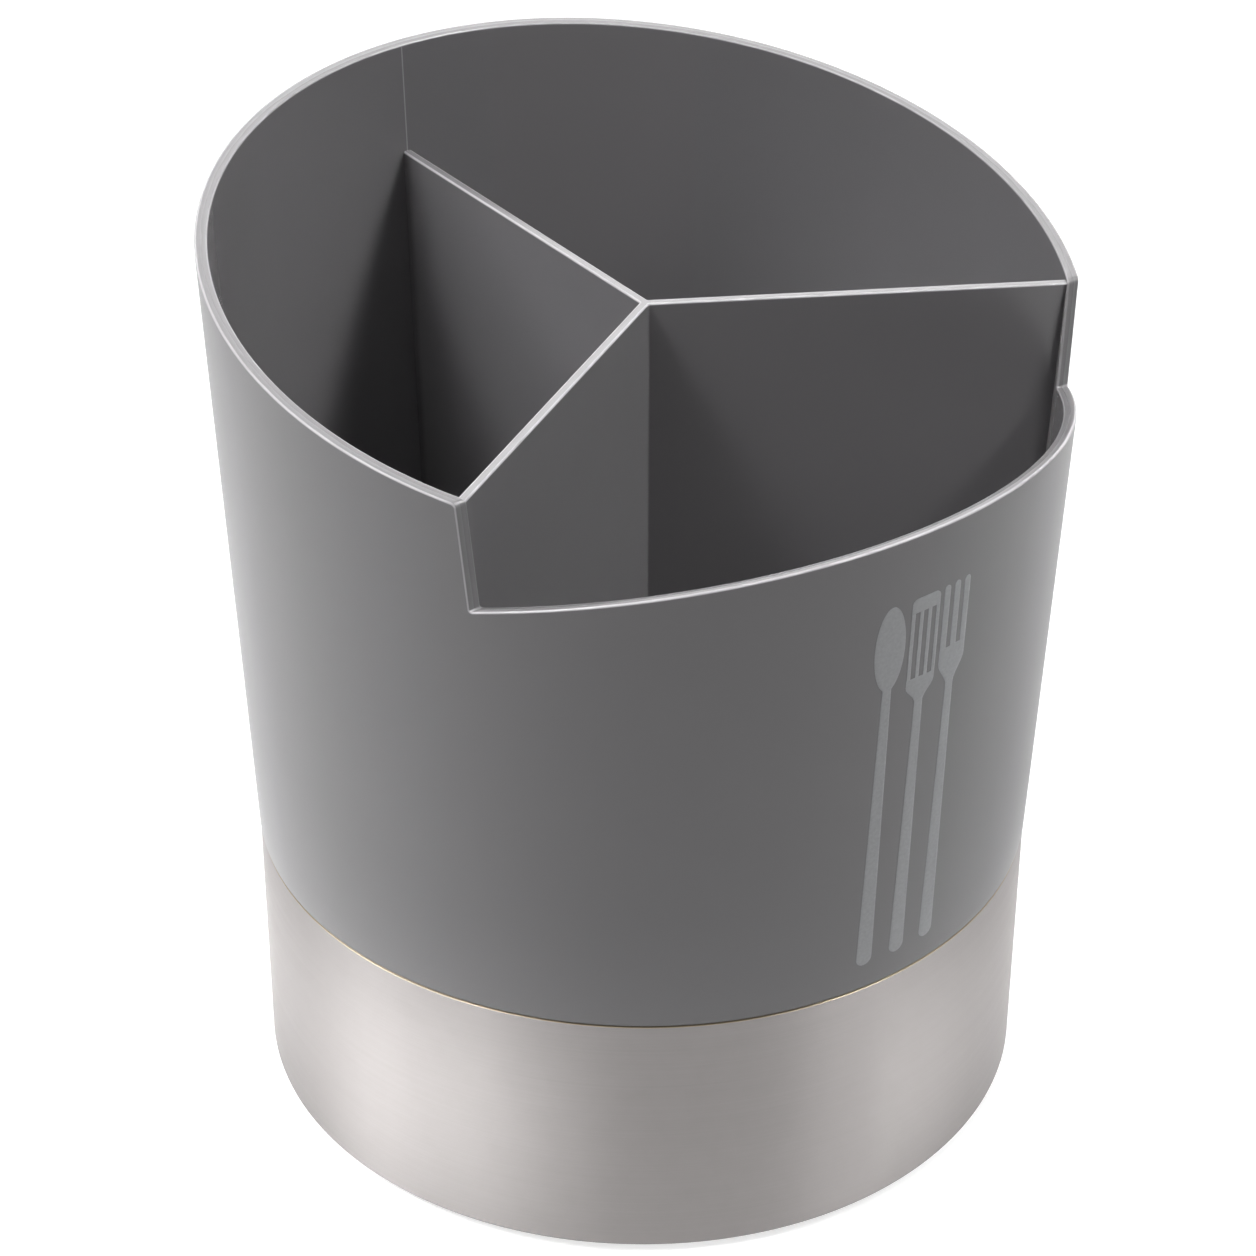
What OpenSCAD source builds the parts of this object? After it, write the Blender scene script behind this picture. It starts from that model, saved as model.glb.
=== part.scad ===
// Round utensil holder for a kitchen worktop, in millimetres.
// The surface it stands on is z = 0, the vertical axis of the round wall is x = y = 0,
// the low lip is at -Y and the high back at +Y. The left half mirrors the right half.

/* [Steel band] */
// Outer diameter of the band at its lower edge
band_d = 126; // [110:0.5:145]
// Height of the band, from its lower edge to its upper edge
band_h = 44.3; // [30:0.1:70]
// Outward lean of the band, in degrees
band_lean = 0.45; // [0:0.05:2]
// Thickness of the sheet that the band is rolled from
band_t = 0.5; // [0.3:0.05:0.8]
// Width of the lower edge where it is turned in, measured from the outside of the band
hem_w = 4.5; // [3:0.25:7]
// Outer radius of the bend at the lower edge
hem_r = 0.8; // [0.8:0.1:2]
// Fine gap between the upper edge of the band and the shoulder of the holder
band_gap = 0.2; // [0.1:0.05:0.6]

/* [Outer wall] */
// Outward lean of the wall above the band, in degrees
wall_lean = 2.86; // [0:0.02:5]
// Thickness of the wall above the band
wall_t = 2; // [1.6:0.1:3]
// How far the wall stands proud of the band at the shoulder
wall_proud = 0.1; // [0:0.05:0.5]
// Chamfer on the lower outer edge of the wall, above the band
shoulder_chamfer = 0.3; // [0.1:0.05:0.6]
// Radial clearance between the sleeve of the holder and the band around it
sleeve_fit = 0.05; // [0.02:0.01:0.2]
// Outward lean of the inner surface below the shoulder, in degrees
sleeve_draft = 1; // [0.5:0.1:2]
// Width of the foot of the skirt below the floor, which stands on the turned-in edge of the band
skirt_t = 1.2; // [1:0.1:2.5]

/* [Floor] */
// Thickness of the floor
floor_t = 2.5; // [1.6:0.1:4]
// Radius between the floor and the wall inside
floor_r = 2.5; // [0.5:0.5:6]

/* [Rim] */
// Height of the rim at the back, above the surface that the holder stands on
back_h = 156.5; // [140:0.5:200]
// Slope of the high rim, falling from the back towards the steps, in degrees
back_fall = 10.1; // [0:0.1:14]
// Height of the lip at the front, above the surface that the holder stands on
lip_h = 128.9; // [100:0.1:132]
// Slope of the low rim, falling from the lip towards the steps, in degrees
lip_fall = 15.2; // [0:0.1:20]
// Distance of the steps in front of the ends of the dividers
step_ahead = 0.45; // [0.1:0.05:2]
// Lean of the step faces away from the vertical, in degrees
step_lean = 2.5; // [0:0.1:8]
// Radius of the upper corner of each step
step_top_r = 1; // [0.2:0.1:3]
// Radius of the lower corner of each step
step_foot_r = 0.8; // [0.2:0.1:3]

/* [Dividers] */
// Number of compartments, and of the dividers between them
compartments = 3; // [3:1:5]
// Thickness of the dividers at their upper edge
divider_t = 1.5; // [1.2:0.1:2.5]
// Lean of each face of a divider, which thickens it towards the floor, in degrees
divider_draft = 0.2; // [0:0.05:0.4]
// Depth of the upper edges of the dividers below the rim where they meet it
divider_drop = 0.5; // [0:0.1:5]

/* [Base plate] */
// Thickness of the plate
plate_t = 1.6; // [1.2:0.1:3]
// Thickness of the rim of the plate, under the turned-in edge of the band
plate_rim_t = 0.8; // [0.6:0.1:2]
// Distance of the edge of the plate from the outside of the band
plate_inset = 2; // [1:0.25:3]
// Radial clearance between the plate and the turned-in edge around it
plate_fit = 0.2; // [0.1:0.05:0.5]
// Diameter of the circle that the pegs and bosses stand on
peg_circle_d = 80; // [60:1:95]
// Number of pegs on the plate, and of bosses under the floor
peg_count = 3; // [3:1:8]
// Diameter of the pegs
peg_d = 5; // [3:0.5:7]
// Length of the pegs above the plate
peg_l = 6; // [4:0.5:7]
// Radial clearance between a peg and its boss
peg_fit = 0.05; // [0.02:0.01:0.1]
// Wall of the bosses around the pegs
boss_t = 2; // [1.2:0.1:3]
// Height of the bosses under the floor
boss_h = 7.5; // [7.5:0.5:15]

/* [Non-slip disc] */
// Distance of the edge of the disc from the edge of the plate
disc_inset = 11; // [7:0.5:25]
// Thickness of the disc
disc_t = 2; // [1.5:0.1:4]
// Distance that the disc holds the rim of the plate off the surface
disc_proud = 0.4; // [0.2:0.1:1]
// Radial clearance between the disc and the edge of its recess
disc_fit = 0.3; // [0.1:0.1:1]
// Chamfer on the lower edge of the disc
disc_chamfer = 0.3; // [0.1:0.1:0.6]

/* [Hidden] */
$fn = 96;

// Heights
band_z = disc_proud + plate_rim_t;
band_top_z = band_z + band_h;
shoulder_z = band_top_z + band_gap;
skirt_z = band_z + band_t;
plate_z = disc_t;
plate_top_z = plate_z + plate_t;
floor_under_z = plate_top_z + boss_h;
floor_z = floor_under_z + floor_t;

// Radii of the round surfaces at a height
function band_r(z) = band_d / 2 + (z - band_z) * tan(band_lean);
function sleeve_r(z) = band_r(z) - band_t - sleeve_fit;
function wall_r(z) = band_r(band_top_z) + wall_proud + (z - shoulder_z) * tan(wall_lean);
function upper_inside_r(z) = wall_r(z) - wall_t;
function lower_inside_r(z) = upper_inside_r(shoulder_z) - (shoulder_z - z) * tan(sleeve_draft);

// The rim, seen from the side as heights at a distance y from the axis
back_y = wall_r(back_h);
lip_y = -wall_r(lip_h);
function back_rim_z(y) = back_h - (back_y - y) * tan(back_fall);
function lip_rim_z(y) = lip_h - (y - lip_y) * tan(lip_fall);

// The two steps stand where the front faces of the dividers beside the back one meet the wall
divider_turn = 360 / compartments;
front_turn = 90 - divider_turn;
meet_z = back_h - back_y * (1 - sin(front_turn)) * tan(back_fall);
meet_y = upper_inside_r(meet_z) * sin(front_turn) - divider_t / 2 * cos(front_turn);
step_y = meet_y - step_ahead;
step_top_z = back_rim_z(step_y);
step_foot_z = (lip_rim_z(step_y) + step_top_z * tan(lip_fall) * tan(step_lean))
    / (1 + tan(lip_fall) * tan(step_lean));
step_foot_y = step_y - (step_top_z - step_foot_z) * tan(step_lean);
divider_z = step_top_z - divider_drop;

// Depth that the dividers run into the wall, which makes them one solid with it
divider_bite = wall_t / 5;

// Sizes that only have to reach past the solids that they cut
reach = 2 * wall_r(back_h);
overrun = 1;

// Radii of the turned-in edge of the band, of the plate under it and of the disc
bend_r = band_d / 2 - hem_r;
hem_inner_r = band_d / 2 - hem_w;
plate_rim_r = band_d / 2 - plate_inset;
plate_raised_r = hem_inner_r - plate_fit;
plate_chamfer = plate_rim_t / 4;
disc_r = plate_rim_r - disc_inset;
recess_r = disc_r + disc_fit;

// The pegs and the bosses around them
boss_r = peg_d / 2 + boss_t;
peg_tip = peg_d / 10;
boss_bore_h = peg_l + peg_tip;

// Chamfer at the foot of the skirt, which clears the inside of the bend of the band
skirt_chamfer = hem_r - band_t + sleeve_fit;

// Points of the arc that rounds corner b, between the sides to a and to c, with radius r
corner_steps = 6;
function unit(v) = v / norm(v);
function rounded_corner(a, b, c, r) =
    let (
        u = unit(a - b),
        v = unit(c - b),
        half = acos(u * v) / 2,
        centre = b + unit(u + v) * r / sin(half),
        from = b + u * r / tan(half),
        to = b + v * r / tan(half),
        a0 = atan2(from[1] - centre[1], from[0] - centre[0]),
        a1 = atan2(to[1] - centre[1], to[0] - centre[0]),
        sweep = (a1 - a0 + 540) % 360 - 180
    )
    [for (i = [0 : corner_steps])
        centre + r * [cos(a0 + sweep * i / corner_steps), sin(a0 + sweep * i / corner_steps)]];

// Everything above the rim, as a side view carried across the holder
module above_rim() {
    back = [reach, back_rim_z(reach)];
    top = [step_y, step_top_z];
    foot = [step_foot_y, step_foot_z];
    lip = [-reach, lip_rim_z(-reach)];
    rotate([90, 0, 90])
        linear_extrude(height = 2 * reach, center = true)
            polygon(concat(
                [[reach, back_h + reach], back],
                rounded_corner(back, top, foot, step_top_r),
                rounded_corner(top, foot, lip, step_foot_r),
                [lip, [-reach, back_h + reach]]
            ));
}

// Half section of the outer wall, its sleeve inside the band, the floor and the skirt
module wall_section() {
    top_z = back_h + overrun;
    difference() {
        polygon([
            [0, floor_under_z],
            [bend_r - skirt_t, floor_under_z],
            [bend_r - skirt_t, skirt_z],
            [sleeve_r(skirt_z) - skirt_chamfer, skirt_z],
            [sleeve_r(skirt_z + skirt_chamfer), skirt_z + skirt_chamfer],
            [sleeve_r(shoulder_z), shoulder_z],
            [wall_r(shoulder_z) - shoulder_chamfer, shoulder_z],
            [wall_r(shoulder_z + shoulder_chamfer), shoulder_z + shoulder_chamfer],
            [wall_r(top_z), top_z],
            [0, top_z]
        ]);
        inside_section(0);
    }
}

// Half section of the space inside, widened by grow, with a rounded edge at the floor
module inside_section(grow) {
    top_z = back_h + 2 * overrun;
    low_z = floor_z + floor_r;
    low_r = lower_inside_r(low_z);
    polygon([
        [0, low_z],
        [low_r + grow, low_z],
        [upper_inside_r(shoulder_z) + grow, shoulder_z],
        [upper_inside_r(top_z) + grow, top_z],
        [0, top_z]
    ]);
    translate([0, floor_z]) square([low_r - floor_r, floor_r + overrun]);
    intersection() {
        translate([low_r - floor_r, low_z]) circle(r = floor_r);
        translate([low_r - floor_r, floor_z]) square([floor_r, floor_r + overrun]);
    }
}

// One divider, from the axis outwards, thicker at the floor than at its upper edge
module divider() {
    foot_z = floor_z - floor_t / 2;
    foot_half = divider_t / 2 + (divider_z - foot_z) * tan(divider_draft);
    rotate([90, 0, 90])
        linear_extrude(height = reach)
            polygon([
                [-foot_half, foot_z],
                [foot_half, foot_z],
                [divider_t / 2, divider_z],
                [-divider_t / 2, divider_z]
            ]);
}

module dividers() {
    intersection() {
        union() {
            for (i = [0 : compartments - 1]) rotate([0, 0, 90 + i * divider_turn]) divider();
        }
        rotate_extrude() {
            inside_section(divider_bite);
            translate([0, floor_under_z + floor_t / 4])
                square([lower_inside_r(floor_z) + divider_bite, floor_t + floor_r]);
        }
    }
}

// Places its child once at each peg
module at_pegs() {
    for (i = [0 : peg_count - 1])
        rotate([0, 0, 90 + (i + 0.5) * 360 / peg_count]) translate([peg_circle_d / 2, 0, 0]) children();
}

// The grey moulding: wall, floor and dividers in one piece, with bosses under the floor
module holder_body() {
    color([0.43, 0.43, 0.45])
        difference() {
            union() {
                rotate_extrude() wall_section();
                dividers();
                at_pegs() translate([0, 0, plate_top_z])
                    cylinder(r = boss_r, h = boss_h + floor_t / 2);
            }
            above_rim();
            at_pegs() translate([0, 0, plate_top_z - overrun])
                cylinder(r = peg_d / 2 + peg_fit, h = boss_bore_h + overrun);
        }
}

// The rolled steel band around the sleeve, with its lower edge turned in under the skirt
module steel_band() {
    bend_z = band_z + hem_r;
    color([0.76, 0.75, 0.73])
        rotate_extrude() {
            polygon([
                [band_d / 2 - band_t, bend_z],
                [band_d / 2, bend_z],
                [band_r(band_top_z), band_top_z],
                [band_r(band_top_z) - band_t, band_top_z]
            ]);
            translate([hem_inner_r, band_z]) square([bend_r - hem_inner_r, band_t]);
            translate([bend_r, bend_z])
                intersection() {
                    difference() {
                        circle(r = hem_r);
                        circle(r = hem_r - band_t);
                    }
                    translate([0, -hem_r]) square(hem_r);
                }
        }
}

// The moulded plate that closes the underside and traps the turned-in edge of the band
module base_plate() {
    color([0.30, 0.30, 0.32]) {
        rotate_extrude()
            polygon([
                [0, plate_z],
                [recess_r, plate_z],
                [recess_r, disc_proud],
                [plate_rim_r - plate_chamfer, disc_proud],
                [plate_rim_r, disc_proud + plate_chamfer],
                [plate_rim_r, band_z],
                [plate_raised_r, band_z],
                [plate_raised_r, plate_top_z],
                [0, plate_top_z]
            ]);
        at_pegs() {
            translate([0, 0, plate_top_z]) cylinder(d = peg_d, h = peg_l - peg_tip);
            translate([0, 0, plate_top_z + peg_l - peg_tip])
                cylinder(d1 = peg_d, d2 = peg_d - 2 * peg_tip, h = peg_tip);
        }
    }
}

// The soft disc that the holder stands on, seated in the recess under the plate
module non_slip_disc() {
    color([0.12, 0.12, 0.13])
        rotate_extrude()
            polygon([
                [0, 0],
                [disc_r - disc_chamfer, 0],
                [disc_r, disc_chamfer],
                [disc_r, disc_t],
                [0, disc_t]
            ]);
}

holder_body();
steel_band();
base_plate();
non_slip_disc();
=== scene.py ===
import math

import bmesh
import bpy
import numpy as np
from mathutils import Matrix, Vector


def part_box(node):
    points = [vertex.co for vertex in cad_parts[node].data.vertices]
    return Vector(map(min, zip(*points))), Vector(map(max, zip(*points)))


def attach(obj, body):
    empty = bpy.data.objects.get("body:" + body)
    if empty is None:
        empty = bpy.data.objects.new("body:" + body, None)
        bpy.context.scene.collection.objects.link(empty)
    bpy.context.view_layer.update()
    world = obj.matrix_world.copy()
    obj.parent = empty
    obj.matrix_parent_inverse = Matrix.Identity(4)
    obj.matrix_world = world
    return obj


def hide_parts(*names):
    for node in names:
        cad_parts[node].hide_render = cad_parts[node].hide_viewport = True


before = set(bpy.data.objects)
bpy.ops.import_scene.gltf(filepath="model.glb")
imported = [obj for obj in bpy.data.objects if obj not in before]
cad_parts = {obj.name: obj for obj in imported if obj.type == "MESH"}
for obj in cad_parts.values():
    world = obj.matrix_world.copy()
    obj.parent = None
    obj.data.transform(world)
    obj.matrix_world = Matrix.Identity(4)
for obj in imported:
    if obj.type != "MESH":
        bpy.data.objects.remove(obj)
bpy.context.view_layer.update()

# Sizes of the holder in millimetres and degrees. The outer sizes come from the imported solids.
MM = 0.001
SHELL_HIGH = np.array(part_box("holder_body")[1]) / MM
BAND_LOW, BAND_HIGH = (np.array(corner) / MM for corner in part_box("steel_band"))
DISC_HIGH = np.array(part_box("non_slip_disc")[1]) / MM

# Steel band
BAND_TOP_R = BAND_HIGH[0]
BAND_Z = BAND_LOW[2]
BAND_TOP_Z = BAND_HIGH[2]
BAND_LEAN = 0.45
BAND_T = 0.5
BAND_R = BAND_TOP_R - (BAND_TOP_Z - BAND_Z) * math.tan(math.radians(BAND_LEAN))
HEM_W = 4.5
HEM_R = 0.8
HEM_EASE = 0.1
BAND_EDGE_R = 0.12

# How far above the foot of its rounded edge the band's painted highlight starts
BAND_EDGE_START = 0.0012

# The butt seam at the back of the band, and the columns beside it in half widths of the seam
SEAM_W = 0.16
SEAM_DEPTH = 0.05
SEAM_COLUMNS = (-2.5, -1, -0.4, 0.4, 1, 2.5)
SEAM_GROOVE = 0.6
SEAM_CLEARING = 0.01

# Wall, floor and skirt of the moulding
BAND_GAP = 0.2
WALL_LEAN = 2.86
WALL_T = 2.0
WALL_PROUD = 0.1
SHOULDER_Z = BAND_TOP_Z + BAND_GAP
SHOULDER_CHAMFER = 0.3
SLEEVE_FIT = 0.05
SLEEVE_DRAFT = 1.0
SKIRT_T = 1.2
SKIRT_Z = BAND_Z + BAND_T
SKIRT_CHAMFER = HEM_R - BAND_T + SLEEVE_FIT
FLOOR_T = 2.5
FLOOR_R = 2.5
BOSS_H = 7.5
PLATE_TOP_Z = 3.6
FLOOR_UNDER_Z = PLATE_TOP_Z + BOSS_H
FLOOR_Z = FLOOR_UNDER_Z + FLOOR_T

# Rim, steps and dividers
BACK_H = SHELL_HIGH[2]
BACK_FALL = 10.1
LIP_H = 128.9
LIP_FALL = 15.2
STEP_AHEAD = 0.45
STEP_LEAN = 2.5
STEP_TOP_R = 1.0
STEP_FOOT_R = 0.3
DIVIDERS = 3
DIVIDER_T = 1.5
DIVIDER_DRAFT = 0.2
DIVIDER_DROP = 0.5
DIVIDER_BITE = 0.4
DIVIDER_FILLET = 0.5
RIM_OUTER_EDGE_R = 0.35
RIM_INNER_EDGE_R = 0.3
DIVIDER_EDGE_R = 0.35

# The fine line that the mould leaves on the wall inside, at the back
WITNESS_W = 0.14
WITNESS_H = 0.04
# How much a painted highlight lightens the line
WITNESS_HIGHLIGHT_LIFT = 0.45
WITNESS_FLANK = 1.1
WITNESS_REACH = 0.6

# Bosses under the floor
BOSS_COUNT = 3
BOSS_CIRCLE_R = 40.0
BOSS_R = 4.5
BOSS_BORE_R = 2.55
BOSS_BORE_H = 6.5
BOSS_EASE = 0.2
BORE_EASE = 0.1

# Soft disc: the radius of its edges, and the shallow rings in its underside
DISC_EDGE_R = 0.3
DISC_RINGS = (14.0, 26.0, 38.0)
RING_W = 1.2
RING_DEPTH = 0.3

# Printed utensils on the front of the wall, with the lengths of their heads from the top down
PRINT_MIDDLE_X = 1.8
PRINT_LOW_Z = 50.5
PRINT_H = 67.0
PRINT_PITCH = 6.3
PRINT_FILM = 0.03
HEAD_HALF = 2.75
HANDLE_FOOT_R = 1.45
HANDLE_TAPER = 0.65
SPOON_BOWL = 15.0
SPOON_NECK = 3.0
TURNER_SHOULDER = 19.0
TURNER_SHOULDER_EASE = 3.2
TURNER_SLOT_LOW = 14.5
TURNER_SLOT_HIGH = 2.6
TURNER_SLOTS = 3
TURNER_SLOT_W = 0.85
TURNER_CORNER_R = 1.1
FORK_PALM = 18.5
FORK_PALM_EASE = 4.5
FORK_TINE = 11.5
FORK_TINES = 3
FORK_TINE_W = 1.25

# Finishes: linear colours, and ranges of roughness
PLASTIC_COLOUR = (0.1645, 0.16, 0.165, 1.0)
PLASTIC_SATIN = (0.31, 0.36)
PLASTIC_POLISHED = (0.19, 0.24)
PLASTIC_IOR = 1.5
# How many times lighter the marked edges are: a painted highlight on the rounded edges
EDGE_HIGHLIGHT_LIFT = 3.0
PLATE_COLOUR = (0.07, 0.07, 0.074, 1.0)
PLATE_SATIN = (0.48, 0.58)
PLATE_POLISHED = (0.4, 0.5)
STEEL_COLOUR = (0.275, 0.26, 0.256, 1.0)
STEEL_ROUGHNESS = (0.42, 0.48)
STEEL_ANISOTROPY = 0.95
STEEL_ROTATION = 0.25
# The band's upper edge is paler and warmer: a painted highlight
BAND_EDGE_HIGHLIGHT_COLOUR = (0.4, 0.34, 0.25, 1.0)
RUBBER_COLOUR = (0.022, 0.022, 0.024, 1.0)
RUBBER_ROUGHNESS = (0.72, 0.86)
INK_COLOUR = (0.36, 0.365, 0.375, 1.0)
INK_ROUGHNESS = (0.42, 0.58)

# Depths of the fine textures, in metres
MOULD_GRAIN = 0.000004
PLATE_GRAIN = 0.00002
BRUSH_DEPTH = 0.0000012
RUBBER_PITS = 0.00003
INK_SPECKLE = 0.000004

# Texture scales: how much noise is stretched along X, Y and Z, and its cells to a metre
EVENLY = (1, 1, 1)
MOTTLING = (EVENLY, 55)
HAZE = ((1, 1, 0.4), 120)
GRAIN = (EVENLY, 2600)
BRUSH_FINE = ((30, 30, 9000), 1)
BRUSH_BROAD = ((8, 8, 700), 1)
STEEL_CLOUD = (EVENLY, 260)
STEEL_CLOUD_SHARE = 0.35
RUBBER_CLOUD = (EVENLY, 90)
PITS = (EVENLY, 1400)
SPECKLE = (EVENLY, 1900)

# How much the tint varies each way, as a share of the colour
PLASTIC_SPREAD = 0.03
STEEL_SPREAD = 0.08
RUBBER_SPREAD = 0.15
INK_SPREAD = 0.16

# Camera at the photograph's view: millimetres from the axis and above the surface
CAMERA_TURN = 36.763
CAMERA_OUT = 552.12
CAMERA_UP = 428.86
CAMERA_DIP = math.degrees(0.5662)
CAMERA_ROLL = math.degrees(-0.0045)
CAMERA_SWING = math.degrees(-0.0044)
CAMERA_LENS = 115.52
CAMERA_SENSOR = 36
CAMERA_NEAR = 0.01

# How finely the pieces are drawn: columns round the wall, rows up it, and steps in arcs
LIP_COLUMNS = 58
BACK_COLUMNS = 104
STEP_ROWS = 12
WALL_ROWS = 12
SLEEVE_ROWS = 6
CORNER_STEPS = 8
EDGE_STEPS = 5
FLOOR_STEPS = 6
ARM_STATIONS = 24
DIVIDER_ROWS = 14
DIVIDER_CORNER_STEPS = 6
BAND_ROWS = 8
HEM_STEPS = 8
BAND_COLUMNS = 360
BOSS_COLUMNS = 48
DISC_COLUMNS = 240
DISC_TOP_STEPS = 4
FILM_COLUMNS = 7
SPOON_ROWS = 120
HANDLE_ROWS = 60
BAR_ROWS = 12
BLADE_ROWS = 14
TINE_ROWS = 24

# How strong the painted highlight on the inner edge of the rim is beside the outer one
INNER_EDGE_SHARE = 0.6

# How far round from a step the rim's inner edge swings back to the outer edge's azimuth, in degrees
STEP_FADE = 25

# Sides of the corners in the side view, the rounds of substitution for a rim's height, and a radius
# that makes azimuths comparable with heights
SIDE_REACH = 20
RIM_ROUNDS = 12
ROUND_R = 60

# Shares of the floor's radius at which it has a ring of points
FLOOR_RINGS = (0.75, 0.5, 0.25)

# Points closer than this, in metres, are welded
WELD = 1e-6

# The world and the floor: levels seen by the camera and in gloss, and the distances from the holder,
# in metres, over which the floor's glow grows to white
WORLD_LEVEL = 0.0
WORLD_GLOSS = 1.0
FLOOR_HALF = 3.0
FLOOR_COLOUR = (0.4, 0.4, 0.4, 1)
FLOOR_ROUGHNESS = 0.9
FLOOR_SPECULAR = 0.1
FLOOR_GLOW = 0.75
FLOOR_FAR_GLOW = 1.0
FLOOR_GLOW_START = 0.5
FLOOR_GLOW_END = 1.8

# Lamps: name, aim as azimuth, distance out and height, then where the lamp stands as seen from its
# aim: azimuth, elevation and distance, then its width, height and beam angle, and its power
AXIS_AIM = (0, 0, 0.08)
MOUTH_AIM = (0, 0, 0.15)
FLOOR_AIM = (-88, 0.17, 0)
LAMPS = (
    ("back_lamp", AXIS_AIM, 180, 33, 1.0, 1.2, 0.7, 180, 7.5),
    ("left_high_lamp", AXIS_AIM, -72, 45, 1.0, 0.6, 0.6, 180, 3.5),
    ("left_steep_lamp", AXIS_AIM, -60, 64, 1.0, 0.7, 0.5, 180, 2.7),
    ("right_high_lamp", AXIS_AIM, 88, 42, 1.0, 0.6, 0.6, 180, 2.0),
    ("left_beam_lamp", MOUTH_AIM, -58, 50, 1.0, 0.3, 0.3, 20, 0.13),
    ("right_beam_lamp", MOUTH_AIM, 77, 52, 1.0, 0.3, 0.3, 20, 0.21),
    ("zenith_lamp", MOUTH_AIM, 0, 86, 0.9, 0.4, 0.4, 50, 0.12),
    ("left_floor_lamp", FLOOR_AIM, -90, 50, 0.45, 0.3, 0.2, 45, 0.31),
)

# Two rows of small low lamps that light the steel alone, a few degrees apart. Each row gives
# azimuths and the lamps' powers there in milliwatts; the lamps between them take powers in between.
BAND_AIM = (0, 0, 0.024)
BAND_LAMP_STEP = 9
BAND_LAMP_DISTANCE = 0.3
BAND_LAMP_W = 0.1
BAND_LAMP_H = 0.03
BAND_LAMP_BEAM = 15
MILLIWATT = 0.001
BAND_LAMPS = (
    ((-150, 1.0), (-132, 1.6), (-114, 1.9), (-96, 1.6), (-69, 1.5), (-51, 1.35), (-33, 0.95), (-15, 0.4)),
    ((70, 1.1), (79, 1.3), (88, 1.3), (97, 1.15), (115, 1.15), (133, 0.95)),
)


def tan(angle):
    """The tangent of an angle in degrees."""
    return math.tan(math.radians(angle))


def wall_r(z):
    """Outer radius of the wall: the band's upper radius plus how far it stands proud, plus the lean."""
    return BAND_TOP_R + WALL_PROUD + (z - SHOULDER_Z) * tan(WALL_LEAN)


def inside_r(z):
    """Inner radius: the wall's thickness in from the outside, and below the shoulder the draft."""
    upper = wall_r(z) - WALL_T
    lower = wall_r(SHOULDER_Z) - WALL_T - (SHOULDER_Z - z) * tan(SLEEVE_DRAFT)
    return np.where(z > SHOULDER_Z, upper, lower)


def sleeve_r(z):
    """Outer radius of the sleeve: the inside of the band less the fit."""
    return BAND_R + (z - BAND_Z) * tan(BAND_LEAN) - BAND_T - SLEEVE_FIT


# The two rims as straight lines in the side view, z = start + slope * y
BACK_SLOPE = tan(BACK_FALL)
LIP_SLOPE = -tan(LIP_FALL)
BACK_START = BACK_H - wall_r(BACK_H) * BACK_SLOPE
LIP_START = LIP_H + wall_r(LIP_H) * LIP_SLOPE

# The step, in front of where the dividers meet the wall
FRONT_TURN = 90 - 360 / DIVIDERS
MEET_Z = BACK_START + BACK_SLOPE * wall_r(BACK_H) * math.sin(math.radians(FRONT_TURN))
MEET_Y = (wall_r(MEET_Z) - WALL_T) * math.sin(math.radians(FRONT_TURN)) - (
    DIVIDER_T / 2 * math.cos(math.radians(FRONT_TURN))
)
STEP_Y = MEET_Y - STEP_AHEAD
STEP_TOP_Z = BACK_START + BACK_SLOPE * STEP_Y
STEP_FOOT_Z = (LIP_START + LIP_SLOPE * (STEP_Y - STEP_TOP_Z * tan(STEP_LEAN))) / (
    1 - LIP_SLOPE * tan(STEP_LEAN)
)
STEP_FOOT_Y = STEP_Y - (STEP_TOP_Z - STEP_FOOT_Z) * tan(STEP_LEAN)
DIVIDER_Z = STEP_TOP_Z - DIVIDER_DROP


def unit(v):
    """Each row of v at length 1."""
    return v / np.linalg.norm(v, axis=-1, keepdims=True)


def polar(r, turn, z):
    """Points at radius r, azimuth turn in radians and height z."""
    r, turn, z = np.broadcast_arrays(r, turn, z)
    return np.stack([r * np.cos(turn), r * np.sin(turn), z], axis=-1)


def arc_between(corner, along_a, along_b, radius, steps):
    """A fillet at each corner, from the side along_a to the side along_b (unit vectors away from it).

    The centre lies on the bisector at radius / sin(half angle), and the arc swings from one foot
    of the perpendicular to the other. Returns an array of steps + 1 points for each corner.
    """
    cosine = np.clip((along_a * along_b).sum(-1), -1, 1)
    half = np.arccos(cosine) / 2
    centre = corner + unit(along_a + along_b) * (radius / np.sin(half))[..., None]
    reach = (radius / np.tan(half))[..., None]
    first = corner + along_a * reach - centre
    last = corner + along_b * reach - centre
    swing = (math.pi - 2 * half)[..., None, None]
    t = np.linspace(0, 1, steps + 1)[:, None]
    turned = np.sin((1 - t) * swing) * first[..., None, :] + np.sin(t * swing) * last[..., None, :]
    return centre[..., None, :] + turned / np.sin(swing)


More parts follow.
